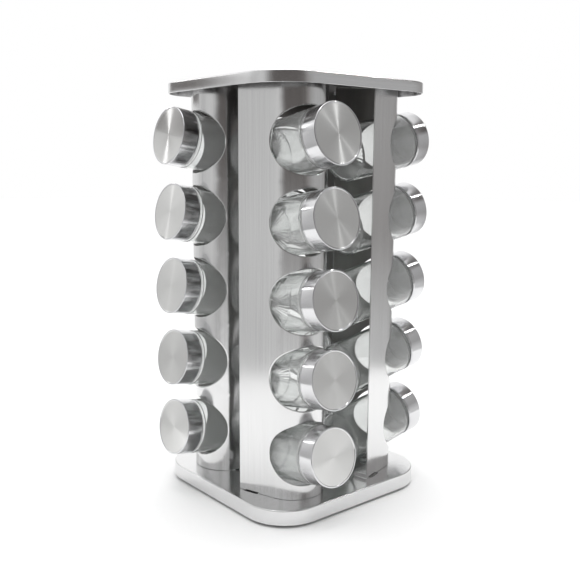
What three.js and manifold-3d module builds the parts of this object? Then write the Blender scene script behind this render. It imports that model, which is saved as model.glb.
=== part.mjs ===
// Rotating spice tower: twenty glass jars with steel screw caps, held in four bent steel
// panels between two pressed plates, on a ball-bearing turntable.
// Millimetres, +Z up. The origin is on the surface the feet stand on, on the turning axis.
// The front column of jars faces -Y; the other three are the same, turned by quarter turns.

import * as THREE from 'three';
import { mergeVertices } from 'three/addons/utils/BufferGeometryUtils.js';
import Module from 'manifold-3d';

const wasm = await Module();
wasm.setup();

// ---- driving dimensions -----------------------------------------------------------------

const SHEET = 1.0;                 // thickness of the plates and panels
const GAP = 0.3;                   // clearance kept between neighbouring pieces
const TOWER_HEIGHT = 372.5;        // floor to the top of the top plate
const RIM_CLEARANCE = 2.5;         // floor to the lower edge of the base plate's rim
const OVERRUN = 1;                 // how far a cutting tool runs past the face it opens
const CHAMFER = 1;                 // edges of rivet, screws and feet

const plate = { half: 92.8, corner: 39, base_rim: 13.3, top_rim: 9.5, arc_steps: 6 };

const jar = {
  tilt: 10,                        // degrees: the closed end points down and inwards
  rows: 5, pitch: 66, top_row: 325, // cap face centre of the highest row, above the floor
  offset: -43.8,                   // sideways from the column's radial line
  reach: 106.4,                    // turning axis to the centre of the cap's face
  length: 88, radius: 25.2, wall: 2.4, floor: 5.5, heel: 3.2, inner_step: 1,
  neck_radius: 22.6, neck_length: 14, shoulder: 5, mouth_drop: 2, sides: 12,
};

const cap = { radius: 25.2, height: 15.8, wall: 0.8, edge: 1.0 };

const panel = {
  arc_x: -41.67, arc_y: -49.67, arc_radius: 28.6, // centre and outer radius of the rounded front
  left_heading: 16.8, right_heading: 158.5,       // degrees the two flat legs turn from -Y
  left_leg: 36.5, right_leg: 18, arc_steps: 8,
  hole_along: 67.2, hole_top_row: 319.9, // centre of the highest hole: along the sheet, and up
  hole_half_length: 35.6, hole_half_height: 27.7, hole_steps: 10,
};

const tab = {
  length: 13, thickness: 0.8, left_start: 6, right_start: 3,
  root: 2,                         // overlap with the panel above or below it
  tail: 1.5,                       // stands out under the base plate
  recess: 0.2,                     // stays below the top plate's face
};

const lug = { length: 13, height: 3.6, lift: 0.2 }; // small inward foot at each panel's free edge
const slot = { length: 14, inside: 1.5, outside: 1.9 }; // reach each side of the sheet's outer face

const bearing = {
  lower_radius: 76, lower_z: 2.9, sheet: 1.2, sides: 24,
  race_radius: 54, race_width: 9, race_height: 0.9,
  ball_radius: 2.4, balls: 12, ball_sides: 6, ball_rings: 4, cage_sheet: 0.8, cage_width: 8,
  upper_drop_radius: 64, upper_radius: 74,
  screw_radius: 69.5, screw_angle: 229, screw_shank: 2, screw_head: 3.8, screw_head_height: 1.8,
  screw_tip: 1.2, screw_sides: 8,
  rivet_shank: 4, rivet_head: 7, rivet_head_height: 1.2, rivet_tail_height: 1.0, rivet_sides: 16,
};

const foot = { radius: 8, height: 2.6, reach: 63, sides: 12 };

// ---- heights worked out from them -------------------------------------------------------

const base_top = RIM_CLEARANCE + plate.base_rim;
const base_underside = base_top - SHEET;
const top_underside = TOWER_HEIGHT - SHEET;
const lower_top = bearing.lower_z + bearing.sheet;
const race_top = lower_top + bearing.race_height;
const ball_z = race_top + GAP + bearing.ball_radius;
const upper_z = ball_z + bearing.ball_radius + GAP;
const upper_flange_top = base_underside - GAP;
const neck_base = jar.length - jar.mouth_drop - jar.neck_length;
const mouth = jar.length - jar.mouth_drop;

// ---- materials --------------------------------------------------------------------------

function metal(color, roughness) {
  return new THREE.MeshStandardMaterial({ color, roughness, metalness: 1 });
}

const polished_steel = metal(0xc9cacc, 0.16);
const satin_steel = metal(0xbfc0c2, 0.32);
const brushed_steel = metal(0xb4b4b3, 0.38);
const zinc_steel = metal(0xa3a5a8, 0.45);
const glass = new THREE.MeshStandardMaterial({
  color: 0xdfe8e2, roughness: 0.04, metalness: 0, transparent: true, opacity: 0.35,
});
const rubber = new THREE.MeshStandardMaterial({ color: 0x1c1c1d, roughness: 0.85, metalness: 0 });

// ---- solids -----------------------------------------------------------------------------

const radians = THREE.MathUtils.degToRad;

function solid(geometry, matrix = new THREE.Matrix4()) {
  const plain = geometry.index ? geometry.toNonIndexed() : geometry.clone();
  plain.deleteAttribute('normal');
  plain.deleteAttribute('uv');
  plain.applyMatrix4(matrix);
  const merged = mergeVertices(plain, 1e-4);
  const index = merged.index.array;
  const faces = [];
  for (let i = 0; i < index.length; i += 3) {
    const [a, b, c] = [index[i], index[i + 1], index[i + 2]];
    if (a !== b && b !== c && c !== a) faces.push(a, b, c);
  }
  return new wasm.Manifold(new wasm.Mesh({
    numProp: 3,
    vertProperties: new Float32Array(merged.attributes.position.array),
    triVerts: new Uint32Array(faces),
  }));
}

function geometryOf(body) {
  const mesh = body.getMesh();
  const geometry = new THREE.BufferGeometry();
  const points = new Float32Array(mesh.vertProperties);
  geometry.setAttribute('position', new THREE.BufferAttribute(points, 3));
  geometry.setIndex(new THREE.BufferAttribute(new Uint32Array(mesh.triVerts), 1));
  geometry.computeVertexNormals();
  return geometry;
}

function subtractAll(body, tools) {
  return tools.reduce((rest, tool) => rest.subtract(tool), body);
}

function placed(x, y, z, turn = 0) {
  return new THREE.Matrix4().makeRotationZ(turn).setPosition(x, y, z);
}

// A solid of revolution about Z from [radius, z] points given anticlockwise.
function turned(points, sides) {
  const profile = points.map(([r, z]) => new THREE.Vector2(r, z));
  const upright = new THREE.Matrix4().makeRotationX(Math.PI / 2);
  return solid(new THREE.LatheGeometry(profile, sides), upright);
}

function rod(radius, z0, z1, x, y) {
  const upright = new THREE.Matrix4().makeRotationX(Math.PI / 2);
  const place = new THREE.Matrix4().makeTranslation(x, y, (z0 + z1) / 2);
  const cylinder = new THREE.CylinderGeometry(radius, radius, z1 - z0, bearing.screw_sides);
  return solid(cylinder, place.multiply(upright));
}

function box(length, width, height, matrix) {
  return solid(new THREE.BoxGeometry(length, width, height), matrix);
}

// A closed body through rings of four points, which comes to an edge at both ends.
function sleeve(rings) {
  const corners = [];
  for (let k = 1; k < rings.length; k += 1) {
    for (let i = 0; i < 4; i += 1) {
      const j = (i + 1) % 4;
      const [a, b, c, d] = [rings[k - 1][i], rings[k][i], rings[k][j], rings[k - 1][j]];
      corners.push(...a, ...b, ...c, ...a, ...c, ...d);
    }
  }
  const geometry = new THREE.BufferGeometry();
  geometry.setAttribute('position', new THREE.Float32BufferAttribute(corners, 3));
  return solid(geometry);
}

function polar(radius, angle) {
  return [radius * Math.cos(angle), radius * Math.sin(angle)];
}

// ---- plates -----------------------------------------------------------------------------

function roundedSquare(half, corner, z0, z1) {
  const flat = half - corner;
  const shape = new THREE.Shape();
  shape.moveTo(half, -flat);
  shape.absarc(flat, flat, corner, 0, Math.PI / 2, false);
  shape.absarc(-flat, flat, corner, Math.PI / 2, Math.PI, false);
  shape.absarc(-flat, -flat, corner, Math.PI, 1.5 * Math.PI, false);
  shape.absarc(flat, -flat, corner, 1.5 * Math.PI, 2 * Math.PI, false);
  const options = { depth: z1 - z0, bevelEnabled: false, curveSegments: plate.arc_steps };
  return solid(new THREE.ExtrudeGeometry(shape, options), placed(0, 0, z0));
}

// A pressed tray, open underneath, with a slot for each tab of the four panels.
function tray(z_rim, z_top) {
  const outer = roundedSquare(plate.half, plate.corner, z_rim, z_top);
  const inside = plate.half - SHEET;
  const inner = roundedSquare(inside, plate.corner - SHEET, z_rim - OVERRUN, z_top - SHEET);
  const slots = [];
  for (let quarter = 0; quarter < 4; quarter += 1) {
    const turn = new THREE.Matrix4().makeRotationZ(quarter * Math.PI / 2);
    for (const leg of [leftLeg(), rightLeg()]) {
      const across = (slot.inside - slot.outside - SHEET) / 2;
      const place = turn.clone().multiply(legPlace(leg, leg.tab_start + tab.length / 2, z_top));
      place.multiply(new THREE.Matrix4().makeTranslation(0, across, 0));
      slots.push(box(slot.length, slot.inside + slot.outside, 2 * (SHEET + OVERRUN), place));
    }
  }
  return subtractAll(outer.subtract(inner), slots);
}

function screwPoints() {
  return [0, 1, 2, 3].map((k) => {
    return polar(bearing.screw_radius, radians(bearing.screw_angle) + k * Math.PI / 2);
  });
}

function basePlate() {
  const holes = screwPoints().map(([x, y]) => {
    return rod(bearing.screw_shank + GAP, base_underside - OVERRUN, base_top + OVERRUN, x, y);
  });
  return subtractAll(tray(RIM_CLEARANCE, base_top), holes);
}

// ---- panels -----------------------------------------------------------------------------

// A heading is the direction of travel along the sheet, turned from -Y towards +X; the
// outside of the panel is on the right of the travel.
function direction(heading) {
  return new THREE.Vector2(Math.sin(heading), -Math.cos(heading));
}

function arcPoint(heading, radius) {
  return new THREE.Vector2(
    panel.arc_x - radius * Math.cos(heading),
    panel.arc_y - radius * Math.sin(heading),
  );
}

function leftLeg() {
  const heading = radians(panel.left_heading);
  const end = arcPoint(heading, panel.arc_radius);
  const start = end.clone().addScaledVector(direction(heading), -panel.left_leg);
  return { start, end, heading, tab_start: tab.left_start };
}

function rightLeg() {
  const heading = radians(panel.right_heading);
  const start = arcPoint(heading, panel.arc_radius);
  const end = start.clone().addScaledVector(direction(heading), panel.right_leg);
  return { start, end, heading, tab_start: tab.right_start };
}

// The middle of the sheet at a distance along a leg, with X along the leg.
function legPlace(leg, along, z) {
  const point = leg.start.clone().addScaledVector(direction(leg.heading), along);
  const inward = new THREE.Vector2(Math.cos(leg.heading), Math.sin(leg.heading));
  point.addScaledVector(inward, SHEET / 2);
  return placed(point.x, point.y, z, leg.heading - Math.PI / 2);
}

function panelShape() {
  const left = leftLeg();
  const right = rightLeg();
  const inward = (leg) => new THREE.Vector2(Math.cos(leg.heading), Math.sin(leg.heading));
  const inner_end = right.end.clone().addScaledVector(inward(right), SHEET);
  const inner_start = left.start.clone().addScaledVector(inward(left), SHEET);
  const from = left.heading + Math.PI;
  const to = right.heading + Math.PI;
  const shape = new THREE.Shape();
  shape.moveTo(left.start.x, left.start.y);
  shape.absarc(panel.arc_x, panel.arc_y, panel.arc_radius, from, to, false);
  shape.lineTo(right.end.x, right.end.y);
  shape.lineTo(inner_end.x, inner_end.y);
  shape.absarc(panel.arc_x, panel.arc_y, panel.arc_radius - SHEET, to, from, true);
  shape.lineTo(inner_start.x, inner_start.y);
  return shape;
}

// Local +Z of a jar runs from its closed end out to the face of its cap.
function jarMatrix(row) {
  const tilt = radians(jar.tilt);
  const matrix = new THREE.Matrix4().makeRotationX(Math.PI / 2 - tilt);
  const z = jar.top_row - row * jar.pitch - jar.length * Math.sin(tilt);
  return matrix.setPosition(jar.offset, -jar.reach + jar.length * Math.cos(tilt), z);
}

// The outer face of the sheet at a distance along it from the left free edge, moved out by lift.
function sheetPoint(along, lift) {
  const left = leftLeg();
  const bend_along = (radians(panel.right_heading) - left.heading) * panel.arc_radius;
  const bent = Math.min(Math.max(along - panel.left_leg, 0), bend_along);
  const heading = left.heading + bent / panel.arc_radius;
  const straight = along - panel.left_leg - bent;
  return arcPoint(heading, panel.arc_radius + lift).addScaledVector(direction(heading), straight);
}

// The cutting tool for one hole: an ellipse in the flat sheet, rolled round the bend.
function jarHole(row) {
  const middle = panel.hole_top_row - row * jar.pitch;
  const rings = [];
  for (let k = 0; k <= panel.hole_steps; k += 1) {
    const turn = Math.PI * k / panel.hole_steps;
    const along = panel.hole_along - panel.hole_half_length * Math.cos(turn);
    const rise = panel.hole_half_height * Math.sin(turn);
    const outer = sheetPoint(along, OVERRUN);
    const inner = sheetPoint(along, -SHEET - OVERRUN);
    const low = [outer, inner].map((point) => [point.x, point.y, middle - rise]);
    const high = [outer, inner].map((point) => [point.x, point.y, middle + rise]);
    rings.push([low[0], high[0], high[1], low[1]]);
  }
  return sleeve(rings);
}

// A flat tab standing in a plate's slot.
function tabBox(leg, bottom, top) {
  const place = legPlace(leg, leg.tab_start + tab.length / 2, (bottom + top) / 2);
  return box(tab.length, tab.thickness, top - bottom, place);
}

function lugBox(bottom) {
  const place = legPlace(leftLeg(), SHEET / 2, bottom + lug.height / 2);
  place.multiply(new THREE.Matrix4().makeTranslation(0, lug.length / 2, 0));
  return box(tab.thickness, lug.length, lug.height, place);
}

function panelBody() {
  const z0 = base_top + GAP;
  const z1 = top_underside - GAP;
  const options = { depth: z1 - z0, bevelEnabled: false, curveSegments: panel.arc_steps };
  let body = solid(new THREE.ExtrudeGeometry(panelShape(), options), placed(0, 0, z0));
  for (const leg of [leftLeg(), rightLeg()]) {
    body = body.add(tabBox(leg, base_underside - tab.tail, z0 + tab.root));
    body = body.add(tabBox(leg, z1 - tab.root, TOWER_HEIGHT - tab.recess));
  }
  for (const z of [z0 + lug.lift, z1 - lug.lift - lug.height]) body = body.add(lugBox(z));
  const holes = [];
  for (let row = 0; row < jar.rows; row += 1) holes.push(jarHole(row));
  return subtractAll(body, holes);
}

// ---- jars and caps ----------------------------------------------------------------------

function jarBody() {
  const inner = jar.radius - jar.wall;
  const neck_inner = jar.neck_radius - jar.wall;
  return turned([
    [0, 0], [jar.radius - jar.heel, 0], [jar.radius, jar.heel],
    [jar.radius, neck_base - jar.shoulder], [jar.neck_radius, neck_base],
    [jar.neck_radius, mouth], [neck_inner, mouth], [neck_inner, neck_base - jar.inner_step],
    [inner, neck_base - jar.shoulder - jar.inner_step], [inner, jar.floor], [0, jar.floor],
  ], jar.sides);
}

function capBody() {
  const skirt = jar.length - cap.height;
  const inner = cap.radius - cap.wall;
  return turned([
    [0, jar.length - cap.wall], [inner, jar.length - cap.wall], [inner, skirt],
    [cap.radius, skirt], [cap.radius, jar.length - cap.edge],
    [cap.radius - cap.edge, jar.length], [0, jar.length],
  ], jar.sides);
}

// ---- turntable --------------------------------------------------------------------------

function lowerPlate() {
  const hole = bearing.rivet_shank + GAP;
  const race_in = bearing.race_radius - bearing.race_width / 2;
  const race_out = bearing.race_radius + bearing.race_width / 2;
  return turned([
    [hole, bearing.lower_z], [bearing.lower_radius, bearing.lower_z],
    [bearing.lower_radius, lower_top], [race_out, lower_top], [race_out, race_top],
    [race_in, race_top], [race_in, lower_top], [hole, lower_top], [hole, bearing.lower_z],
  ], bearing.sides);
}

function upperPlate() {
  const hole = bearing.rivet_shank + 2 * GAP;
  const wall = bearing.upper_drop_radius;
  const flange_z = upper_flange_top - bearing.sheet;
  const disc_top = upper_z + bearing.sheet;
  const body = turned([
    [hole, upper_z], [wall, upper_z], [wall, flange_z], [bearing.upper_radius, flange_z],
    [bearing.upper_radius, upper_flange_top], [wall - bearing.sheet, upper_flange_top],
    [wall - bearing.sheet, disc_top], [hole, disc_top], [hole, upper_z],
  ], bearing.sides);
  const holes = screwPoints().map(([x, y]) => {
    return rod(bearing.screw_shank + GAP, flange_z - OVERRUN, upper_flange_top + OVERRUN, x, y);
  });
  return subtractAll(body, holes);
}

function ballCage() {
  const cage_in = bearing.race_radius - bearing.cage_width / 2;
  const cage_out = bearing.race_radius + bearing.cage_width / 2;
  const z0 = ball_z - bearing.cage_sheet / 2;
  const z1 = ball_z + bearing.cage_sheet / 2;
  const ring = [[cage_in, z0], [cage_out, z0], [cage_out, z1], [cage_in, z1], [cage_in, z0]];
  let body = turned(ring, bearing.sides);
  for (let k = 0; k < bearing.balls; k += 1) {
    const [x, y] = polar(bearing.race_radius, (k + 0.5) * 2 * Math.PI / bearing.balls);
    const { ball_radius, ball_sides, ball_rings } = bearing;
    const ball = new THREE.SphereGeometry(ball_radius, ball_sides, ball_rings);
    body = body.add(solid(ball, placed(x, y, ball_z)));
  }
  return body;
}

function pivotRivet() {
  const { rivet_head, rivet_shank } = bearing;
  const head_z = upper_z + bearing.sheet + GAP;
  const tail_z = bearing.lower_z - GAP;
  const bottom = tail_z - bearing.rivet_tail_height;
  const top = head_z + bearing.rivet_head_height;
  return turned([
    [0, bottom], [rivet_head, bottom], [rivet_head, tail_z], [rivet_shank, tail_z],
    [rivet_shank, head_z], [rivet_head, head_z], [rivet_head - CHAMFER, top], [0, top],
  ], bearing.rivet_sides);
}

function screwBody() {
  const { screw_shank, screw_head } = bearing;
  const tip = upper_flange_top - bearing.sheet - bearing.screw_tip;
  const seat = base_top + GAP;
  const top = seat + bearing.screw_head_height;
  return turned([
    [0, tip], [screw_shank, tip], [screw_shank, seat], [screw_head, seat],
    [screw_head - CHAMFER, top], [0, top],
  ], bearing.screw_sides);
}

function footPad() {
  return turned([
    [0, 0], [foot.radius - CHAMFER, 0], [foot.radius, CHAMFER], [foot.radius, foot.height],
    [0, foot.height],
  ], foot.sides);
}

// ---- assembly ---------------------------------------------------------------------------

const tower = new THREE.Group();

function addPiece(name, geometry, material, parent = tower, matrix = null) {
  const mesh = new THREE.Mesh(geometry, material);
  mesh.name = name;
  if (matrix) matrix.decompose(mesh.position, mesh.quaternion, mesh.scale);
  parent.add(mesh);
}

addPiece('turntable_lower_plate', geometryOf(lowerPlate()), zinc_steel);
addPiece('turntable_upper_plate', geometryOf(upperPlate()), zinc_steel);
addPiece('ball_cage', geometryOf(ballCage()), zinc_steel);
addPiece('pivot_rivet', geometryOf(pivotRivet()), zinc_steel);
addPiece('base_plate', geometryOf(basePlate()), satin_steel);
addPiece('top_plate', geometryOf(tray(TOWER_HEIGHT - plate.top_rim, TOWER_HEIGHT)), satin_steel);

const foot_geometry = geometryOf(footPad());
const screw_geometry = geometryOf(screwBody());
screwPoints().forEach(([x, y], k) => {
  const [foot_x, foot_y] = polar(foot.reach, Math.PI / 4 + k * Math.PI / 2);
  addPiece(`foot_pad_${k + 1}`, foot_geometry, rubber, tower, placed(foot_x, foot_y, 0));
  addPiece(`turntable_screw_${k + 1}`, screw_geometry, zinc_steel, tower, placed(x, y, 0));
});

const panel_geometry = geometryOf(panelBody());
const jar_geometry = geometryOf(jarBody());
const cap_geometry = geometryOf(capBody());
const columns = { front: 0, right: 1, back: 2, left: 3 };
for (const [side, quarter] of Object.entries(columns)) {
  const column = new THREE.Group();
  column.rotation.z = quarter * Math.PI / 2;
  tower.add(column);
  addPiece(`panel_${side}`, panel_geometry, polished_steel, column);
  for (let row = 0; row < jar.rows; row += 1) {
    addPiece(`jar_${side}_${row + 1}`, jar_geometry, glass, column, jarMatrix(row));
    addPiece(`cap_${side}_${row + 1}`, cap_geometry, brushed_steel, column, jarMatrix(row));
  }
}

export default tower;
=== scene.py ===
"""Looks of a rotating spice tower: steel plates and panels, glass jars with brushed steel caps."""

import math

import bmesh
import bpy
from mathutils import Matrix, Vector


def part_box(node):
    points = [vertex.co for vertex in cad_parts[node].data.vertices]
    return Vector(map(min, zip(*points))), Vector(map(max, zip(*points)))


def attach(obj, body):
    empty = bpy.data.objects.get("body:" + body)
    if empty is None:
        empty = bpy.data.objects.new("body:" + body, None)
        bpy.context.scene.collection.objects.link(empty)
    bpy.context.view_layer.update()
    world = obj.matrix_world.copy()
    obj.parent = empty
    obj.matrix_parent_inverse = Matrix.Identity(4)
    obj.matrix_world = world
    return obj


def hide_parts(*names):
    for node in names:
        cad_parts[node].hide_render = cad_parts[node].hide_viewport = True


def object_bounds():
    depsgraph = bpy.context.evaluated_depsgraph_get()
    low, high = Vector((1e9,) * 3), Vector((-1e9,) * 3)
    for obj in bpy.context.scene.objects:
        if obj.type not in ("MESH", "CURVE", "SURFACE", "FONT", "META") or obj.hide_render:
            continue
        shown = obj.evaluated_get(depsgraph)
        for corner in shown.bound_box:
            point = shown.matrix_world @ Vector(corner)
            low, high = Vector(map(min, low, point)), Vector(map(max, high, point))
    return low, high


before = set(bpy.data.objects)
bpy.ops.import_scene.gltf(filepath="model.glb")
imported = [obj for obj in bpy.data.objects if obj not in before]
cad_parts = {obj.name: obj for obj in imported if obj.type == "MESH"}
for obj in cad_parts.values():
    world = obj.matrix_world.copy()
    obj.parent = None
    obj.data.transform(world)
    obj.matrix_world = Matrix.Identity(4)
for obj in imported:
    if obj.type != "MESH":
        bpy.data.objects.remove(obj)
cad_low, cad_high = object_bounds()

# ---- sizes, in metres -----------------------------------------------------------------

MM = 0.001
SHEET = 1.0 * MM
GAP = 0.3 * MM
TOWER_TOP = cad_high.z
BASE_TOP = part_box("base_plate")[1].z
BASE_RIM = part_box("base_plate")[0].z
TOP_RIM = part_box("top_plate")[0].z
PLATE_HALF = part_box("base_plate")[1].x
PLATE_CORNER = 39 * MM
PLATE_FILLET = 1.8 * MM

TILT = math.radians(10)
ROWS = 5
PITCH = 66 * MM
TOP_ROW = 325 * MM
JAR_OFFSET = -43.8 * MM
JAR_REACH = 106.4 * MM
JAR_LENGTH = 88 * MM
JAR_RADIUS = 25.2 * MM
JAR_INSIDE = 23.4 * MM
NECK_RADIUS = 22.3 * MM
NECK_INSIDE = 20.2 * MM
NECK_BASE = 72 * MM
MOUTH = 86 * MM
THREAD_PITCH = 3.2 * MM
CAP_RADIUS = 25.2 * MM
CAP_FACE_RADIUS = 23.5 * MM
CAP_LIP = 72.2 * MM

ARC = Vector((-41.67 * MM, -49.67 * MM))
ARC_RADIUS = 28.6 * MM
LEFT_HEADING = math.radians(16.8)
RIGHT_HEADING = math.radians(158.5)
LEFT_LEG = 36.5 * MM
RIGHT_LEG = 18 * MM
ARC_LENGTH = ARC_RADIUS * (RIGHT_HEADING - LEFT_HEADING)
PANEL_LENGTH = LEFT_LEG + ARC_LENGTH + RIGHT_LEG

# Each hole is an ellipse in the flat sheet, which is then rolled round the bend.
HOLE_ALONG = 67.2 * MM
HOLE_HALF_LENGTH = 35.6 * MM
HOLE_HALF_HEIGHT = 27.7 * MM
HOLE_TOP_ROW = 319.9 * MM

TAB_LENGTH = 13 * MM
TAB_THICKNESS = 0.8 * MM
TAB_STARTS = (6 * MM, LEFT_LEG + ARC_LENGTH + 3 * MM)
SLOT_LENGTH = 14 * MM
SLOT_INSIDE = 1.5 * MM
SLOT_OUTSIDE = 1.9 * MM

# Two small lugs folded inwards at each panel's free edge, near its top and its foot.
LUG_SIZE = (TAB_THICKNESS, 13 * MM, 3.6 * MM)
LUG_ALONG = 0.5 * MM
LUG_LIFT = -7 * MM
LUG_FROM_END = 2 * MM

KNURL_RIDGES = 40
KNURL_DEPTH = 0.14 * MM
BALLS = 12
BALL_TRACK_RADIUS = 54 * MM

SIDES = {"front": 0, "right": 1, "back": 2, "left": 3}


# ---- mesh helpers ---------------------------------------------------------------------


def quarter(side):
    return Matrix.Rotation(SIDES[side] * math.pi / 2, 4, "Z")


def bridge(bm, a, b):
    """Faces between two rings of vertices; a ring of one vertex is a pole."""
    n = max(len(a), len(b))
    for i in range(n):
        j = (i + 1) % n
        corners = [a[i % len(a)], a[j % len(a)], b[j % len(b)], b[i % len(b)]]
        unique = list(dict.fromkeys(corners))
        if len(unique) > 2:
            bm.faces.new(unique)


def round_corners(points, radii, steps=5):
    """An open line of 2-D points with each corner rounded to its own radius."""
    points = [Vector(p) for p in points]
    line = [points[0]]
    for before, corner, after, radius in zip(points, points[1:], points[2:], radii[1:]):
        if radius <= 0:
            line.append(corner)
            continue
        u = (before - corner).normalized()
        v = (after - corner).normalized()
        half = u.angle(v) / 2
        shorter = min((before - corner).length, (after - corner).length)
        reach = min(radius / math.tan(half), 0.49 * shorter)
        centre = corner + (u + v).normalized() * (reach / math.cos(half))
        start = corner + u * reach - centre
        sweep = start.angle_signed(corner + v * reach - centre)
        for k in range(steps + 1):
            line.append(centre + Matrix.Rotation(-sweep * k / steps, 2) @ start)
    line.append(points[-1])
    return line


def lathe(bm, profile, segments=96, closed=False, ripple=None):
    """Turns (radius, height) points about Z; ripple lifts each vertex by its own amount."""
    rings = []
    for radius, height in profile:
        if radius < 1e-7:
            rings.append([bm.verts.new((0, 0, height))])
            continue
        ring = []
        for k in range(segments):
            angle = 2 * math.pi * k / segments
            lift = ripple(radius, height, angle) if ripple else 0
            x, y = radius * math.cos(angle), radius * math.sin(angle)
            ring.append(bm.verts.new((x, y, height + lift)))
        rings.append(ring)
    for a, b in zip(rings, rings[1:]):
        bridge(bm, a, b)
    if closed:
        bridge(bm, rings[-1], rings[0])


def block(bm, size, place, bevel=0.15 * MM):
    """A small block with softened edges."""
    made = bmesh.ops.create_cube(bm, size=1, matrix=place @ Matrix.Diagonal((*size, 1)))
    edges = {e for v in made["verts"] for e in v.link_edges}
    bmesh.ops.bevel(bm, geom=list(edges), offset=bevel, segments=2, affect="EDGES")


def mesh_from(bm, name, sharp=35):
    """Welds and smooths a finished shape; edges sharper than so many degrees stay crisp."""
    bmesh.ops.remove_doubles(bm, verts=bm.verts, dist=1e-6)
    bmesh.ops.recalc_face_normals(bm, faces=bm.faces)
    mesh = bpy.data.meshes.new(name)
    bm.to_mesh(mesh)
    bm.free()
    mesh.shade_smooth()
    mesh.set_sharp_from_angle(angle=math.radians(sharp))
    return mesh


def piece(name, mesh, material, body, node, place=None):
    """Puts one piece in the scene, riding on its body and standing for its node."""
    obj = bpy.data.objects.new(name, mesh)
    bpy.context.scene.collection.objects.link(obj)
    if not mesh.materials:
        mesh.materials.append(material)
    if place is not None:
        obj.matrix_world = place
    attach(obj, body)
    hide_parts(node)


# ---- shader helpers -------------------------------------------------------------------


class Shader:
    """A material and short calls for wiring its nodes."""

    def __init__(self, name, color, metallic, roughness):
        self.material = bpy.data.materials.new(name)
        self.material.use_nodes = True
        self.tree = self.material.node_tree
        self.bsdf = self.tree.nodes["Principled BSDF"]
        self.bsdf.inputs["Base Color"].default_value = (*color, 1)
        self.bsdf.inputs["Metallic"].default_value = metallic
        self.bsdf.inputs["Roughness"].default_value = roughness

    def node(self, kind, **values):
        made = self.tree.nodes.new(kind)
        for key, value in values.items():
            if hasattr(made, key):
                setattr(made, key, value)
            else:
                made.inputs[key.replace("_", " ")].default_value = value
        return made

    def link(self, source, target):
        self.tree.links.new(source, target)

    def coordinates(self, scale):
        """Object coordinates stretched along each axis."""
        mapping = self.node("ShaderNodeMapping")
        mapping.inputs["Scale"].default_value = scale
        self.link(self.node("ShaderNodeTexCoord").outputs["Object"], mapping.inputs["Vector"])
        return mapping.outputs["Vector"]

    def noise(self, vector, scale, detail=4):
        made = self.node("ShaderNodeTexNoise", Scale=scale, Detail=detail)
        self.link(vector, made.inputs["Vector"])
        return made.outputs["Fac"]

    def spread(self, value, low, high):
        """Noise, which mostly lies between 0.3 and 0.7, spread over another range."""
        made = self.node("ShaderNodeMapRange", From_Min=0.3, From_Max=0.7, To_Min=low, To_Max=high)
        self.link(value, made.inputs["Value"])
        return made.outputs["Result"]

    def rough(self, value, low, high):
        self.link(self.spread(value, low, high), self.bsdf.inputs["Roughness"])

    def tint(self, value, dark, light):
        made = self.node("ShaderNodeMix", data_type="RGBA")
        made.inputs[6].default_value = (*dark, 1)
        made.inputs[7].default_value = (*light, 1)
        self.link(value, made.inputs["Factor"])
        self.link(made.outputs[2], self.bsdf.inputs["Base Color"])

    def bump(self, height, strength, distance):
        made = self.node("ShaderNodeBump", Strength=strength, Distance=distance)
        self.link(height, made.inputs["Height"])
        self.link(made.outputs["Normal"], self.bsdf.inputs["Normal"])


def brushed(name, grain, dark, light, rough_low, rough_high, strength):
    """Steel with fine straight brush lines; grain is how much each axis is squeezed."""
    shader = Shader(name, light, 1, rough_low)
    lines = shader.noise(shader.coordinates(grain), 1, 6)
    cloud = shader.noise(shader.coordinates((18, 18, 9)), 1, 3)
    shader.tint(lines, dark, light)
    half_cloud = shader.node("ShaderNodeMath", operation="MULTIPLY")
    shader.link(cloud, half_cloud.inputs[0])
    half_cloud.inputs[1].default_value = 0.5
    average = shader.node("ShaderNodeMath", operation="MULTIPLY_ADD")
    shader.link(lines, average.inputs[0])
    average.inputs[1].default_value = 0.5
    shader.link(half_cloud.outputs[0], average.inputs[2])
    shader.rough(average.outputs[0], rough_low, rough_high)
    shader.bump(lines, strength, 0.02 * MM)
    return shader.material


def circular_brushed(name, along, dark, light, rough_low, rough_high, stretch):
    """Steel brushed round the jar's axis; highlights are drawn out across the brush lines.

    The axes picked by along say how the lines follow each other: X and Y put them one outside
    another, as on a cap's face, and Z one above another, as along its skirt.
    """
    shader = Shader(name, light, 1, rough_low)
    coordinates = shader.node("ShaderNodeTexCoord")
    across = shader.node("ShaderNodeVectorMath", operation="MULTIPLY")
    across.inputs[1].default_value = along
    shader.link(coordinates.outputs["Object"], across.inputs[0])
    distance = shader.node("ShaderNodeVectorMath", operation="LENGTH")
    shader.link(across.outputs[0], distance.inputs[0])
    rings = shader.node("ShaderNodeTexNoise", noise_dimensions="1D", Scale=9000, Detail=4)
    shader.link(distance.outputs["Value"], rings.inputs["W"])
    shader.tint(rings.outputs["Fac"], dark, light)
    shader.rough(rings.outputs["Fac"], rough_low, rough_high)
    shader.bump(rings.outputs["Fac"], 0.05, 0.01 * MM)
    shader.bsdf.inputs["Anisotropic"].default_value = stretch
    quarter_turn = 0.25
    shader.bsdf.inputs["Anisotropic Rotation"].default_value = quarter_turn
    tangent = shader.node("ShaderNodeTangent", direction_type="RADIAL", axis="Z")
    shader.link(tangent.outputs["Tangent"], shader.bsdf.inputs["Tangent"])
    return shader.material


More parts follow.
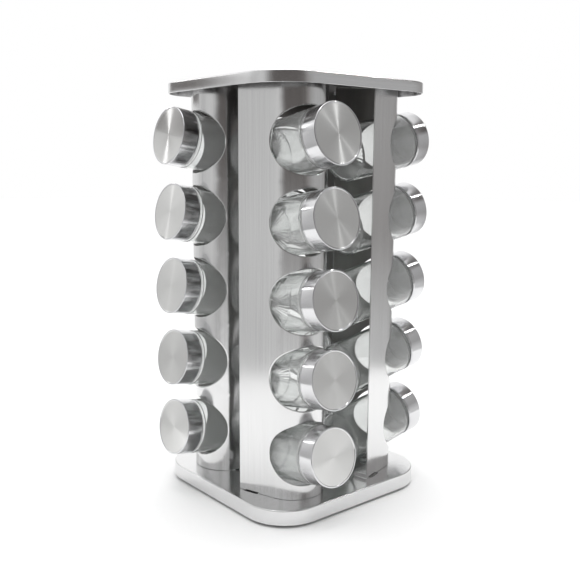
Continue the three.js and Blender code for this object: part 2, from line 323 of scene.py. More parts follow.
def glass_material():
    """Clear pressed glass with slow waves, a green tint through its depth and a pale shadow."""
    shader = Shader("jar_glass", (0.994, 1.0, 0.996), 0, 0.01)
    shader.bsdf.inputs["Transmission Weight"].default_value = 0.9
    shader.bsdf.inputs["IOR"].default_value = 1.5
    waves = shader.noise(shader.coordinates((60, 60, 22)), 1, 2)
    shader.rough(waves, 0.0, 0.02)
    shader.bump(waves, 0.06, 0.2 * MM)
    absorb = shader.node("ShaderNodeVolumeAbsorption", Density=8.0)
    absorb.inputs["Color"].default_value = (0.62, 0.78, 0.7, 1)
    output = shader.tree.nodes["Material Output"]
    shader.link(absorb.outputs["Volume"], output.inputs["Volume"])
    clear = shader.node("ShaderNodeBsdfTransparent")
    clear.inputs["Color"].default_value = (0.9, 0.94, 0.92, 1)
    path = shader.node("ShaderNodeLightPath")
    mix = shader.node("ShaderNodeMixShader")
    shader.link(path.outputs["Is Shadow Ray"], mix.inputs["Fac"])
    shader.link(shader.bsdf.outputs["BSDF"], mix.inputs[1])
    shader.link(clear.outputs["BSDF"], mix.inputs[2])
    shader.link(mix.outputs["Shader"], output.inputs["Surface"])
    return shader.material


def moulded(name, dark, light, roughness, grain):
    """Moulded rubber with a fine matt skin."""
    shader = Shader(name, light, 0, roughness)
    skin = shader.noise(shader.coordinates((grain, grain, grain)), 1, 3)
    shader.tint(skin, dark, light)
    shader.rough(skin, roughness - 0.06, roughness + 0.06)
    shader.bump(skin, 0.2, 0.05 * MM)
    return shader.material


PANEL_STEEL = brushed(
    "panel_steel", (900, 900, 9), (0.66, 0.66, 0.66), (0.8, 0.8, 0.8), 0.13, 0.22, 0.05
)
PLATE_STEEL = brushed(
    "plate_steel", (9, 900, 900), (0.68, 0.68, 0.685), (0.82, 0.82, 0.82), 0.16, 0.26, 0.05
)
# The steel of the inside faces: the same sheet, rougher, and darker by painted shade for the dim
# inside of the tower.
SHADED_INNER_STEEL = brushed(
    "inner_steel_painted_shade", (400, 400, 30), (0.26, 0.25, 0.245), (0.36, 0.35, 0.345), 0.45, 0.6, 0.05
)
ZINC_STEEL = brushed(
    "zinc_steel", (120, 120, 120), (0.42, 0.43, 0.44), (0.6, 0.61, 0.62), 0.32, 0.5, 0.1
)
FACE_STEEL = circular_brushed(
    "cap_face_steel", (1, 1, 0), (0.7, 0.7, 0.69), (0.76, 0.76, 0.75), 0.21, 0.27, 0.95
)
SKIRT_STEEL = circular_brushed(
    "cap_skirt_steel", (0, 0, 1), (0.66, 0.66, 0.67), (0.74, 0.74, 0.75), 0.14, 0.2, 0.85
)
GLASS = glass_material()
RUBBER = moulded("foot_rubber", (0.018, 0.018, 0.018), (0.04, 0.04, 0.042), 0.75, 900)


# ---- panels ---------------------------------------------------------------------------


def heading_vector(heading):
    return Vector((math.sin(heading), -math.cos(heading)))


def outward_vector(heading):
    return Vector((-math.cos(heading), -math.sin(heading)))


def panel_point(along, z, lift=0.0):
    """A point of the front panel so far along its sheet; lift is outwards from its outer face."""
    if along < LEFT_LEG:
        heading = LEFT_HEADING
        past = along - LEFT_LEG
        flat = ARC + outward_vector(heading) * ARC_RADIUS + heading_vector(heading) * past
    elif along < LEFT_LEG + ARC_LENGTH:
        heading = LEFT_HEADING + (along - LEFT_LEG) / ARC_RADIUS
        flat = ARC + outward_vector(heading) * ARC_RADIUS
    else:
        heading = RIGHT_HEADING
        past = along - LEFT_LEG - ARC_LENGTH
        flat = ARC + outward_vector(heading) * ARC_RADIUS + heading_vector(heading) * past
    flat = flat + outward_vector(heading) * lift
    return Vector((flat.x, flat.y, z))


def hole_point(row, angle, grow=0.0):
    """A point (along, z) on a jar hole's rim, moved out into the sheet by grow."""
    along = HOLE_ALONG + (HOLE_HALF_LENGTH + grow) * math.cos(angle)
    return Vector((along, hole_middle(row) + (HOLE_HALF_HEIGHT + grow) * math.sin(angle)))


def hole_middle(row):
    return HOLE_TOP_ROW - row * PITCH


CELL_LOW = HOLE_ALONG - HOLE_HALF_LENGTH - 6 * MM
CELL_HIGH = LEFT_LEG + ARC_LENGTH
CELL_STEPS = 40
CELL_RISE = 28


def cell_border(row):
    """The (along, z) points round the rectangle of sheet that holds one hole, anticlockwise."""
    low = hole_middle(row) - PITCH / 2
    high = low + PITCH
    border = []
    for k in range(CELL_STEPS):
        border.append(Vector((CELL_LOW + (CELL_HIGH - CELL_LOW) * k / CELL_STEPS, low)))
    for k in range(CELL_RISE):
        border.append(Vector((CELL_HIGH, low + PITCH * k / CELL_RISE)))
    for k in range(CELL_STEPS):
        border.append(Vector((CELL_HIGH - (CELL_HIGH - CELL_LOW) * k / CELL_STEPS, high)))
    for k in range(CELL_RISE):
        border.append(Vector((CELL_LOW, high - PITCH * k / CELL_RISE)))
    return border


def rim_angle(row, target):
    """The angle of the rim point that lies between the hole's middle and the target."""
    along = (target.x - HOLE_ALONG) / HOLE_HALF_LENGTH
    rise = (target.y - hole_middle(row)) / HOLE_HALF_HEIGHT
    return math.atan2(rise, along)


def cell_rings(bm, row, lift, edge_drop):
    """Rings of vertices from a hole's rim out to its cell's border, on one face of the sheet.

    The rim itself is set back by edge_drop, which rounds its edge.
    """
    border = cell_border(row)
    angles = [rim_angle(row, p) for p in border]
    flat_from = 1.2 * MM
    rounding = ((0.0, edge_drop), (0.12 * MM, edge_drop * 0.45), (0.4 * MM, 0.0), (flat_from, 0.0))
    rings = []
    for grow, drop in rounding:
        ring = []
        for angle in angles:
            along, z = hole_point(row, angle, grow)
            ring.append(bm.verts.new(panel_point(along, z, lift + drop)))
        rings.append(ring)
    for share in (0.3, 0.65, 1.0):
        ring = []
        for angle, target in zip(angles, border):
            start = hole_point(row, angle, flat_from)
            along, z = start + (target - start) * share
            ring.append(bm.verts.new(panel_point(along, z, lift)))
        rings.append(ring)
    return rings


def grid(bm, alongs, heights, lift):
    rows = [[bm.verts.new(panel_point(a, z, lift)) for a in alongs] for z in heights]
    for low, high in zip(rows, rows[1:]):
        for k in range(len(alongs) - 1):
            bm.faces.new((low[k], low[k + 1], high[k + 1], high[k]))


def steps(low, high, count):
    return [low + (high - low) * k / count for k in range(count + 1)]


def panel_mesh():
    """The front panel: a sheet bent once, its five round-edged holes, its tabs and its lugs."""
    bm = bmesh.new()
    bottom = BASE_TOP + GAP
    top = TOWER_TOP - SHEET - GAP
    first = hole_middle(0) + PITCH / 2
    last = hole_middle(ROWS - 1) - PITCH / 2
    cell_alongs = steps(CELL_LOW, CELL_HIGH, CELL_STEPS)
    left_alongs = steps(0, CELL_LOW, 6)
    right_alongs = steps(CELL_HIGH, PANEL_LENGTH, 6)
    side_heights = steps(last, first, ROWS * CELL_RISE)
    for lift in (0.0, -SHEET):
        drop = -0.35 * MM if lift == 0 else 0.35 * MM
        for row in range(ROWS):
            rings = cell_rings(bm, row, lift, drop)
            for a, b in zip(rings, rings[1:]):
                bridge(bm, a, b)
        for alongs in (left_alongs, right_alongs):
            grid(bm, alongs, side_heights, lift)
        for heights in (steps(bottom, last, 2), steps(first, top, 4)):
            for alongs in (left_alongs, cell_alongs, right_alongs):
                grid(bm, alongs, heights, lift)
    bmesh.ops.remove_doubles(bm, verts=bm.verts, dist=1e-6)
    close_sheet(bm)
    for start in TAB_STARTS:
        add_tab(bm, start + TAB_LENGTH / 2, BASE_TOP - SHEET - 1.5 * MM, bottom + 2 * MM)
        add_tab(bm, start + TAB_LENGTH / 2, top - 2 * MM, TOWER_TOP - 0.2 * MM)
    for z in (bottom + LUG_FROM_END, top - LUG_FROM_END):
        middle = panel_point(LUG_ALONG, z, LUG_LIFT)
        turn = Matrix.Rotation(LEFT_HEADING - math.pi / 2, 4, "Z")
        block(bm, LUG_SIZE, Matrix.Translation(middle) @ turn, 0.2 * MM)
    mesh = mesh_from(bm, "panel_sheet", 50)
    mesh.materials.append(PANEL_STEEL)
    mesh.materials.append(SHADED_INNER_STEEL)
    # Faces turned inwards take the darker steel, which paints the shade inside the tower.
    for polygon in mesh.polygons:
        if faces_inwards(polygon):
            polygon.material_index = 1
    return mesh


def faces_inwards(polygon):
    """Whether a face of the front panel looks at the turning axis or the inside of the bend."""
    centre = polygon.center.xy
    nearest = ARC if centre.y < ARC.y + 8 * MM else Vector((0, 0))
    return polygon.normal.xy.dot(nearest - centre) > 0.3 * (nearest - centre).length


def close_sheet(bm):
    """Joins each open edge of the outer face to the nearest open edge of the inner face."""
    loops = open_loops([e for e in bm.edges if e.is_boundary])
    middles = [sum((v.co for v in loop), Vector()) / len(loop) for loop in loops]
    taken = set()
    for i, loop in enumerate(loops):
        if i in taken:
            continue
        free = [j for j in range(len(loops)) if j != i and j not in taken]
        rest = [j for j in free if len(loops[j]) == len(loop)]
        j = min(rest, key=lambda k: (middles[k] - middles[i]).length)
        taken |= {i, j}
        stitch(bm, loop, loops[j])


def open_loops(edges):
    """Open edges as closed lists of vertices."""
    left = set(edges)
    loops = []
    while left:
        edge = left.pop()
        loop = [edge.verts[0], edge.verts[1]]
        while True:
            following = [e for e in loop[-1].link_edges if e in left]
            if not following:
                break
            left.discard(following[0])
            loop.append(following[0].other_vert(loop[-1]))
        if loop[-1] is loop[0]:
            loop.pop()
        loops.append(loop)
    return loops


def stitch(bm, a, b):
    """Bridges two loops of the same length from their nearest vertices, in the same sense."""
    n = len(a)
    shift = min(range(n), key=lambda k: (b[k].co - a[0].co).length)
    forward = [b[(shift + k) % n] for k in range(n)]
    backward = [b[(shift - k) % n] for k in range(n)]
    probe = n // 4
    same = (forward[probe].co - a[probe].co).length < (backward[probe].co - a[probe].co).length
    bridge(bm, a, forward if same else backward)


def add_tab(bm, along, low, high):
    """A tab in the plane of the sheet, centred on its thickness, between two heights."""
    middle = panel_point(along, (low + high) / 2, -SHEET / 2)
    heading = LEFT_HEADING if along < LEFT_LEG else RIGHT_HEADING
    place = Matrix.Translation(middle) @ Matrix.Rotation(heading - math.pi / 2, 4, "Z")
    block(bm, (TAB_LENGTH, TAB_THICKNESS, high - low), place)


# ---- plates ---------------------------------------------------------------------------


def rounded_square(inset, z, arc=16, flat=4):
    """Points round a rounded square, inset from the plate's outline."""
    half = PLATE_HALF - inset
    corner = PLATE_CORNER - inset
    straight = half - corner
    points = []
    for k in range(4):
        turn = Matrix.Rotation(k * math.pi / 2, 2)
        for step in range(flat):
            points.append(turn @ Vector((half, straight * (2 * step / flat - 1))))
        for step in range(arc):
            angle = step / arc * math.pi / 2
            x = straight + corner * math.cos(angle)
            y = straight + corner * math.sin(angle)
            points.append(turn @ Vector((x, y)))
    return [(p.x, p.y, z) for p in points]


def slot_corners(z):
    """The eight slots, each as its four corners."""
    slots = []
    for side in SIDES:
        for start in TAB_STARTS:
            along = start + TAB_LENGTH / 2
            heading = LEFT_HEADING if along < LEFT_LEG else RIGHT_HEADING
            middle = panel_point(along, z, (SLOT_OUTSIDE - SLOT_INSIDE) / 2)
            turn = Matrix.Rotation(heading - math.pi / 2, 4, "Z")
            place = quarter(side) @ Matrix.Translation(middle) @ turn
            half = (SLOT_OUTSIDE + SLOT_INSIDE) / 2
            corners = []
            for sx, sy in ((-1, -1), (1, -1), (1, 1), (-1, 1)):
                corners.append(place @ Vector((sx * SLOT_LENGTH / 2, sy * half, 0)))
            slots.append(corners)
    return slots


def fill_with_slots(bm, outline, slots):
    """Fills a flat outline, leaving the slots open."""
    edges = []
    for loop in [outline, *slots]:
        for a, b in zip(loop, loop[1:] + loop[:1]):
            edges.append(bm.edges.get((a, b)) or bm.edges.new((a, b)))
    bmesh.ops.triangle_fill(bm, use_beauty=True, use_dissolve=False, edges=edges)


def tray_mesh(name, z_rim, z_top):
    """A pressed plate with a rounded shoulder, a down-turned rim and a softened lower lip."""
    under = z_top - SHEET
    corner_in = PLATE_FILLET + 0.6 * MM
    section = [
        (corner_in, z_top), (0, z_top), (0, z_rim), (SHEET, z_rim), (SHEET, under),
        (corner_in + SHEET, under),
    ]
    radii = [0, PLATE_FILLET, 0.85 * MM, 0.1 * MM, 0.9 * MM, 0]
    bm = bmesh.new()
    rings = []
    for inset, z in round_corners(section, radii, 6):
        rings.append([bm.verts.new(p) for p in rounded_square(inset, z)])
    for a, b in zip(rings, rings[1:]):
        bridge(bm, a, b)
    upper = [[bm.verts.new(p) for p in slot] for slot in slot_corners(z_top)]
    lower = [[bm.verts.new(p) for p in slot] for slot in slot_corners(under)]
    fill_with_slots(bm, rings[0], upper)
    fill_with_slots(bm, rings[-1], lower)
    for a, b in zip(upper, lower):
        bridge(bm, a, b)
    mesh = mesh_from(bm, name)
    mesh.materials.append(PLATE_STEEL)
    mesh.materials.append(SHADED_INNER_STEEL)
    # The plate's underside takes the darker steel, which paints the shade under the plate.
    for polygon in mesh.polygons:
        if polygon.normal.z < -0.5 and polygon.center.z > under - 0.5 * MM:
            polygon.material_index = 1
    return mesh


# ---- jars and caps ----------------------------------------------------------------------


def jar_place(side, row):
    """A jar's own frame: Z from its closed end out to the face of its cap."""
    turn = Matrix.Rotation(math.pi / 2 - TILT, 4, "X")
    y = -JAR_REACH + JAR_LENGTH * math.cos(TILT)
    z = TOP_ROW - row * PITCH - JAR_LENGTH * math.sin(TILT)
    return quarter(side) @ Matrix.Translation((JAR_OFFSET, y, z)) @ turn


def jar_mesh():
    """Pressed glass: a bottom barely pushed up, a knurled bearing ring, a bead and a thread."""
    outside = round_corners(
        [
            (0, 0.7 * MM), (21.6 * MM, 0.3 * MM), (JAR_RADIUS, 0.3 * MM),
            (JAR_RADIUS, NECK_BASE - 2.6 * MM), (24.4 * MM, NECK_BASE - 1.2 * MM),
            (24.6 * MM, NECK_BASE - 0.8 * MM), (24.4 * MM, NECK_BASE - 0.3 * MM),
            (NECK_RADIUS, NECK_BASE), (NECK_RADIUS, MOUTH),
        ],
        [0, 1 * MM, 2.2 * MM, 1.2 * MM, 0.3 * MM, 0.4 * MM, 0.4 * MM, 0.4 * MM, 0],
    )
    inside = round_corners(
        [
            (NECK_RADIUS, MOUTH), (NECK_INSIDE, MOUTH), (NECK_INSIDE, NECK_BASE - 0.4 * MM),
            (JAR_INSIDE, NECK_BASE - 2.9 * MM), (JAR_INSIDE, 2.4 * MM), (0, 2.6 * MM),
        ],
        [0, 0.8 * MM, 0.8 * MM, 1.4 * MM, 1.4 * MM, 0],
    )

    def knurl(radius, height, angle):
        if 21 * MM < radius < 24.6 * MM and height < 1.2 * MM:
            return KNURL_DEPTH * math.cos(KNURL_RIDGES * angle)
        return 0

    bm = bmesh.new()
    lathe(bm, outside + inside[1:], 120, ripple=knurl)
    add_thread(bm)
    return mesh_from(bm, "jar_glass", 60)


def add_thread(bm, turns=1.5, segments=60):
    """A rounded ridge that winds up the neck and fades into it at both ends."""
    section = [(-0.5, 0.9), (0.75, 0.35), (0.75, -0.35), (-0.5, -0.9)]
    rings = []
    count = int(turns * segments)
    for k in range(count + 1):
        angle = 2 * math.pi * k / segments
        height = NECK_BASE + 4 * MM + THREAD_PITCH * angle / (2 * math.pi)
        fade = min(1, k / 6, (count - k) / 6)
        ring = []
        for out, up in section:
            radius = NECK_RADIUS + out * max(fade, 0.05) * MM
            x, y = radius * math.cos(angle), radius * math.sin(angle)
            ring.append(bm.verts.new((x, y, height + up * MM)))
        rings.append(ring)
    for a, b in zip(rings, rings[1:]):
        bridge(bm, a, b)
    bm.faces.new(rings[0])
    bm.faces.new(rings[-1])


def cap_mesh():
    """A drawn steel cap: a brushed face in a raised edge, and a fine groove above its lip."""
    top = JAR_LENGTH
    inside = CAP_RADIUS - 0.8 * MM
    groove = CAP_RADIUS - 0.25 * MM
    profile = round_corners(
        [
            (0, top - 0.35 * MM), (CAP_FACE_RADIUS, top - 0.35 * MM),
            (CAP_FACE_RADIUS + 0.5 * MM, top), (CAP_RADIUS, top), (CAP_RADIUS, CAP_LIP + 1.5 * MM),
            (groove, CAP_LIP + 1.15 * MM), (CAP_RADIUS, CAP_LIP + 0.8 * MM), (CAP_RADIUS, CAP_LIP),
            (inside, CAP_LIP), (inside, top - 1.1 * MM), (0, top - 1.1 * MM),
        ],
        [
            0, 0.3 * MM, 0.3 * MM, 0.8 * MM, 0.2 * MM, 0.2 * MM, 0.2 * MM, 0.4 * MM, 0.3 * MM,
            0.6 * MM, 0,
        ],
    )
    bm = bmesh.new()
    lathe(bm, profile, 128)
    mesh = mesh_from(bm, "cap_shell", 40)
    mesh.materials.append(SKIRT_STEEL)
    mesh.materials.append(FACE_STEEL)
    for polygon in mesh.polygons:
        centre = polygon.center
        radius = math.hypot(centre.x, centre.y)
        if centre.z > top - 0.4 * MM and radius < CAP_FACE_RADIUS + 0.1 * MM:
            polygon.material_index = 1
    return mesh


# ---- turntable --------------------------------------------------------------------------


def turned_mesh(name, profile, radii, segments=128, closed=True):
    """A turned piece; a closed profile repeats its first point at its end."""
    bm = bmesh.new()
    line = round_corners(profile, radii, 4)
    if closed:
        line = line[:-1]
    lathe(bm, line, segments, closed=closed)
    return mesh_from(bm, name)


def lower_disc():
    """The turntable's lower plate, with a raised ring under the balls."""
    z0, z1 = (v.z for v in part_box("turntable_lower_plate"))
    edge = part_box("turntable_lower_plate")[1].x
    top = z1 - 0.9 * MM
    profile = [
        (4.3 * MM, z0), (edge, z0), (edge, top), (58.5 * MM, top), (58.5 * MM, z1),
        (49.5 * MM, z1), (49.5 * MM, top), (4.3 * MM, top), (4.3 * MM, z0),
    ]
    r = 0.4 * MM
    return turned_mesh("turntable_disc", profile, [0, r, r, r, r, r, r, 0, 0])


def upper_disc():
    """The turntable's upper plate: a sheet whose edge is stepped up."""
    z0, z1 = (v.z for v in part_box("turntable_upper_plate"))
    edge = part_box("turntable_upper_plate")[1].x
    sheet = 1.2 * MM
    profile = [
        (4.6 * MM, z0), (64 * MM, z0), (64 * MM, z1 - sheet), (edge, z1 - sheet), (edge, z1),
        (62.8 * MM, z1), (62.8 * MM, z0 + sheet), (4.6 * MM, z0 + sheet), (4.6 * MM, z0),
    ]
    r = 0.5 * MM
    return turned_mesh("turntable_ring", profile, [0, r, r, r, r, r, r, 0, 0])


def cage_mesh():
    """The balls, set in a thin flat ring."""
    z0, z1 = (v.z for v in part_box("ball_cage"))
    middle = (z0 + z1) / 2
    radius = (z1 - z0) / 2
    bm = bmesh.new()
    low, high = middle - 0.4 * MM, middle + 0.4 * MM
    inner, outer = BALL_TRACK_RADIUS - 4 * MM, BALL_TRACK_RADIUS + 4 * MM
    lathe(bm, [(inner, low), (outer, low), (outer, high), (inner, high)], 96, closed=True)
    for k in range(BALLS):
        angle = (k + 0.5) * 2 * math.pi / BALLS
        x, y = BALL_TRACK_RADIUS * math.cos(angle), BALL_TRACK_RADIUS * math.sin(angle)
        centre = Matrix.Translation((x, y, middle))
        bmesh.ops.create_uvsphere(bm, u_segments=20, v_segments=12, radius=radius, matrix=centre)
    return mesh_from(bm, "ball_ring")


def rivet_mesh():
    """The rivet on the turning axis, with a head at each end of its shank."""
    z0, z1 = (v.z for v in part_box("pivot_rivet"))
    tail, head = z0 + 1.0 * MM, z1 - 1.2 * MM
    profile = [
        (0, z0), (6.2 * MM, z0), (7 * MM, tail), (4 * MM, tail), (4 * MM, head), (7 * MM, head),
        (6.2 * MM, z1), (0, z1),
    ]
    r = 0.4 * MM
    return turned_mesh("centre_rivet", profile, [0, r, r / 2, 0, 0, r, r, 0], 48, closed=False)


def screw_mesh(node):
    """A pan-head screw with a cross in the hollow of its head, in its own frame."""
    low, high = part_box(node)
    length = high.z - low.z
    head = length - 1.8 * MM
    bm = bmesh.new()
    profile = [
        (0, 0.1 * MM), (1.2 * MM, 0), (2 * MM, 0.7 * MM), (2 * MM, head), (3.8 * MM, head),
        (3.6 * MM, length - 0.5 * MM), (1.6 * MM, length), (1.6 * MM, length - 0.9 * MM),
        (0, length - 1.1 * MM),
    ]
    r = 0.3 * MM
    line = round_corners(profile, [0, 0, 0, 0, r, r, 0.1 * MM, 0, 0], 3)
    lathe(bm, line, 32)
    for turn in (0, math.pi / 2):
        place = Matrix.Translation((0, 0, length - 0.8 * MM)) @ Matrix.Rotation(turn, 4, "Z")
        block(bm, (3.0 * MM, 0.5 * MM, 0.5 * MM), place, 0.08 * MM)
    return mesh_from(bm, "fixing_screw")


def foot_mesh():
    """A rubber foot with a softened edge and two grip grooves underneath."""
    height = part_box("foot_pad_1")[1].z
    profile = [
        (0, 0), (2.5 * MM, 0), (2.8 * MM, 0.4 * MM), (3.4 * MM, 0.4 * MM), (3.7 * MM, 0),
        (5.2 * MM, 0), (5.5 * MM, 0.4 * MM), (6.1 * MM, 0.4 * MM), (6.4 * MM, 0),
        (7.4 * MM, 0), (8 * MM, 0.7 * MM), (8 * MM, height), (0, height),
    ]
    radii = [0] * 9 + [0.3 * MM, 0.4 * MM, 0.3 * MM, 0]
    return turned_mesh("rubber_foot", profile, radii, 48, closed=False)


# ---- the object ---------------------------------------------------------------------------


def place_of(node):
    """Where a small turned piece stands: its middle in plan, at its lowest height."""
    low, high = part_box(node)
    return Matrix.Translation(((low.x + high.x) / 2, (low.y + high.y) / 2, low.z))


def build_stand():
    disc, rivet, balls = lower_disc(), rivet_mesh(), cage_mesh()
    piece("turntable_disc", disc, ZINC_STEEL, "stand", "turntable_lower_plate")
    piece("centre_rivet", rivet, ZINC_STEEL, "stand", "pivot_rivet")
    piece("ball_ring", balls, ZINC_STEEL, "ball_cage", "ball_cage")
    foot = foot_mesh()
    for k in range(1, 5):
        node = f"foot_pad_{k}"
        piece(f"rubber_foot_{k}", foot, RUBBER, "stand", node, place_of(node))


def build_carousel():
    base = tray_mesh("base_tray", BASE_RIM, BASE_TOP)
    top = tray_mesh("top_tray", TOP_RIM, TOWER_TOP)
    ring = upper_disc()
    piece("base_tray", base, PLATE_STEEL, "carousel", "base_plate")
    piece("top_tray", top, PLATE_STEEL, "carousel", "top_plate")
    piece("turntable_ring", ring, ZINC_STEEL, "carousel", "turntable_upper_plate")
    screw = screw_mesh("turntable_screw_1")
    for k in range(1, 5):
        node = f"turntable_screw_{k}"
        place = place_of(node)
        piece(f"fixing_screw_{k}", screw, ZINC_STEEL, "carousel", node, place)
    sheet = panel_mesh()
    for side in SIDES:
        node = f"panel_{side}"
        place = quarter(side)
        piece(f"panel_sheet_{side}", sheet, PANEL_STEEL, "carousel", node, place)


def build_jars():
    jar, cap = jar_mesh(), cap_mesh()
    for side in SIDES:
        for row in range(ROWS):
            spot = f"{side}_{row + 1}"
            place = jar_place(side, row)
            node = f"jar_{spot}"
            piece(f"jar_glass_{spot}", jar, GLASS, node, node, place)
            node = f"cap_{spot}"
            piece(f"cap_shell_{spot}", cap, SKIRT_STEEL, node, node, place)


# ---- studio -------------------------------------------------------------------------------

WALL_RADIUS = 0.5
WALL_HEIGHTS = (-0.001, 0.06, 0.2, 0.36, 0.42, 0.5, 0.78)

# The studio's surround by angle in degrees: its low, middle, high and top brightness.
SURROUND = [
    (0, 0.38, 0.24, 0.3, 0.3),
    (25, 1.1, 1.15, 1.15, 1.15),
    (75, 1.1, 1.15, 1.15, 1.15),
    (95, 0.85, 0.85, 0.9, 0.9),
    (110, 0.75, 0.85, 0.95, 1.1),
    (125, 0.65, 0.8, 0.9, 1.1),
    (138, 0.55, 0.7, 0.8, 1.1),
    (152, 0.52, 0.6, 0.6, 0.9),
    (165, 0.62, 0.66, 0.6, 0.7),
    (178, 0.66, 0.7, 0.68, 0.68),
    (190, 0.6, 0.66, 0.68, 0.68),
    (200, 0.52, 0.58, 0.56, 0.56),
    (212, 0.38, 0.44, 0.4, 0.4),
    (225, 0.28, 0.26, 0.26, 0.26),
    (238, 0.25, 0.19, 0.18, 0.18),
    (262, 0.24, 0.16, 0.16, 0.16),
    (276, 0.35, 0.28, 0.36, 0.4),
    (292, 0.72, 0.42, 0.47, 0.45),
    (312, 0.74, 0.42, 0.48, 0.45),
    (322, 0.75, 0.42, 0.48, 0.1),
    (345, 0.55, 0.32, 0.38, 0.12),
    (360, 0.38, 0.24, 0.3, 0.3),
]

# Two curved cards: how far out, the angles they span, their heights and the brightness at each.
# One darkens the front panel's bend, the other the left side of the top plate's rim.
FLAGS = {
    "bend_flag": (0.24, (194, 260), (0.07, 0.1, 0.2, 0.3, 0.44), (0.8, 0.7, 0.4, 0.14, 0.1)),
    "rim_flag": (0.3, (108, 148), (0.369, 0.42), (0.14, 0.14)),
}


def emission(name):
    material = bpy.data.materials.new(name)
    material.use_nodes = True
    tree = material.node_tree
    tree.nodes.clear()
    output = tree.nodes.new("ShaderNodeOutputMaterial")
    glow = tree.nodes.new("ShaderNodeEmission")
    glow.inputs["Strength"].default_value = 1.0
    tree.links.new(glow.outputs["Emission"], output.inputs["Surface"])
    return material, tree, glow


def surround_tones(angle):
    """The surround's low, middle, high and top brightness at an angle in degrees."""
    for (a0, *tones0), (a1, *tones1) in zip(SURROUND, SURROUND[1:]):
        if a0 <= angle <= a1:
            share = (angle - a0) / (a1 - a0)
            return [p + (q - p) * share for p, q in zip(tones0, tones1)]


def warmed(tone):
    """Dark parts of the studio are a little brown, pale parts neutral."""
    warmth = max(0, 0.45 - tone) * 0.25
    return (tone * (1 + warmth), tone, tone * (1 - warmth * 0.4), 1)


def make_surround():
    """A ring of studio cards, which shows only in reflections and through the glass."""
    bm = bmesh.new()
    tone = bm.verts.layers.float_color.new("tone")
    rings = [[] for _ in WALL_HEIGHTS]
    for degrees in range(0, 360, 3):
        angle = math.radians(degrees)
        x, y = WALL_RADIUS * math.cos(angle), WALL_RADIUS * math.sin(angle)
        low, middle, high, top = surround_tones(degrees)
        levels = (low, low, middle, high, high, top, top)
        for ring, z, level in zip(rings, WALL_HEIGHTS, levels):
            vertex = bm.verts.new((x, y, z))
            vertex[tone] = warmed(level)
            ring.append(vertex)
    for a, b in zip(rings, rings[1:]):
        bridge(bm, a, b)
    add_card("surround", bm)


def make_flag(name, radius, span, heights, tones):
    """A dark curved card with soft sides, which shows only in reflections."""
    bm = bmesh.new()
    tone = bm.verts.layers.float_color.new("tone")
    first, last = span
    softness = (last - first) / 4
    rows = []
    for z, level in zip(heights, tones):
        red, green, blue, _ = warmed(level)
        row = []
        for degrees in range(first, last + 1):
            angle = math.radians(degrees)
            vertex = bm.verts.new((radius * math.cos(angle), radius * math.sin(angle), z))
            opacity = min(1, (degrees - first) / softness, (last - degrees) / softness)
            vertex[tone] = (red, green, blue, opacity)
            row.append(vertex)
        rows.append(row)
    for low, high in zip(rows, rows[1:]):
        for k in range(len(low) - 1):
            bm.faces.new((low[k], low[k + 1], high[k + 1], high[k]))
    card = add_card(name, bm)
    card.visible_transmission = False


def add_card(name, bm):
    """A glowing card coloured at its vertices, unseen by the camera; alpha lets light through."""
    mesh = bpy.data.meshes.new(name)
    bm.to_mesh(mesh)
    bm.free()
    material, tree, glow = emission(name)
    color = tree.nodes.new("ShaderNodeVertexColor")
    color.layer_name = "tone"
    tree.links.new(color.outputs["Color"], glow.inputs["Color"])
    mix = tree.nodes.new("ShaderNodeMixShader")
    clear = tree.nodes.new("ShaderNodeBsdfTransparent")
    tree.links.new(color.outputs["Alpha"], mix.inputs["Fac"])
    tree.links.new(clear.outputs["BSDF"], mix.inputs[1])
    tree.links.new(glow.outputs["Emission"], mix.inputs[2])
    tree.links.new(mix.outputs["Shader"], tree.nodes["Material Output"].inputs["Surface"])
    mesh.materials.append(material)
    card = bpy.data.objects.new(name, mesh)
    bpy.context.scene.collection.objects.link(card)
    card.visible_camera = False
    card.visible_shadow = False
    card.visible_diffuse = False
    return card


def make_floor():
    """A very wide sheet of pale paper."""
    bm = bmesh.new()
    bmesh.ops.create_circle(bm, cap_ends=True, segments=128, radius=6)
    mesh = bpy.data.meshes.new("floor")
    bm.to_mesh(mesh)
    bm.free()
    shader = Shader("floor_paper", (0.86, 0.86, 0.86), 0, 0.9)
    fibre = shader.noise(shader.coordinates((300, 300, 300)), 1, 2)
    shader.tint(fibre, (0.85, 0.85, 0.85), (0.87, 0.87, 0.87))
    mesh.materials.append(shader.material)
    floor = bpy.data.objects.new("floor", mesh)
    bpy.context.scene.collection.objects.link(floor)


def make_world():
    world = bpy.data.worlds.new("studio")
    world.use_nodes = True
    world.node_tree.nodes["Background"].inputs["Color"].default_value = (1, 1, 1, 1)
    world.node_tree.nodes["Background"].inputs["Strength"].default_value = 1.0
    bpy.context.scene.world = world


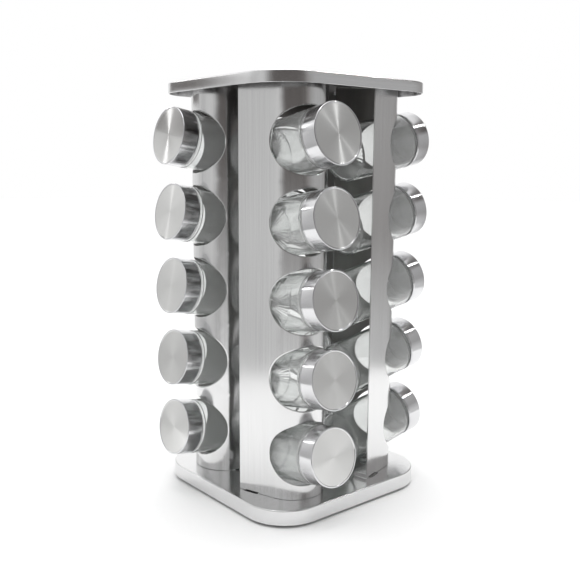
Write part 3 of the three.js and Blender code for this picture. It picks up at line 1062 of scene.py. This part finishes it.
def area_light(name, size, energy, location, target):
    data = bpy.data.lights.new(name, "AREA")
    data.shape = "RECTANGLE"
    data.size, data.size_y = size
    data.energy = energy
    light = bpy.data.objects.new(name, data)
    bpy.context.scene.collection.objects.link(light)
    light.location = location
    light.rotation_mode = "QUATERNION"
    light.rotation_quaternion = (Vector(target) - Vector(location)).to_track_quat("-Z", "Y")
    light.visible_camera = False
    return light


def sky_light():
    """A very wide sun, which lifts the floor to white out to the horizon."""
    data = bpy.data.lights.new("sky_light", "SUN")
    data.energy = 0.9
    data.angle = math.radians(70)
    light = bpy.data.objects.new("sky_light", data)
    bpy.context.scene.collection.objects.link(light)
    light.visible_glossy = False
    light.visible_transmission = False


def streak_light(name, direction, energy, size=0.05):
    """A small lamp that only glints on metal, and draws one streak across each cap's face."""
    target = Vector((0, 0, 0.2))
    location = target + Vector(direction).normalized() * 1.5
    light = area_light(name, (size, size), energy, location, target)
    light.visible_diffuse = False
    light.visible_transmission = False


def make_camera():
    data = bpy.data.cameras.new("camera")
    data.sensor_width = 36
    data.lens = 48.86
    camera = bpy.data.objects.new("camera", data)
    bpy.context.scene.collection.objects.link(camera)
    yaw, pitch, roll = math.radians(39.79), math.radians(-9.21), math.radians(0.3)
    look = Matrix.Rotation(-yaw, 4, "Z") @ Matrix.Rotation(math.pi / 2 + pitch, 4, "X")
    look = look @ Matrix.Rotation(roll, 4, "Z")
    camera.matrix_world = Matrix.Translation((-0.4706, -0.5604, 0.3023)) @ look
    data.clip_end = 50
    bpy.context.scene.camera = camera


build_stand()
build_carousel()
build_jars()
make_floor()
make_surround()
for flag, shape in FLAGS.items():
    make_flag(flag, *shape)
make_world()
area_light("overhead_softbox", (1.2, 1.2), 8, (0.1, 0.2, 1.7), (0, 0, 0.1))
sky_light()
streak_light("streak_lamp_back", (-0.4, 0.82, 0.4), 0.7, 0.08)
streak_light("streak_lamp_right", (0.6, -0.42, 0.68), 3)
streak_light("streak_lamp_front", (0.2, -0.6, 0.77), 2)
make_camera()
bpy.context.scene.view_settings.view_transform = "Standard"
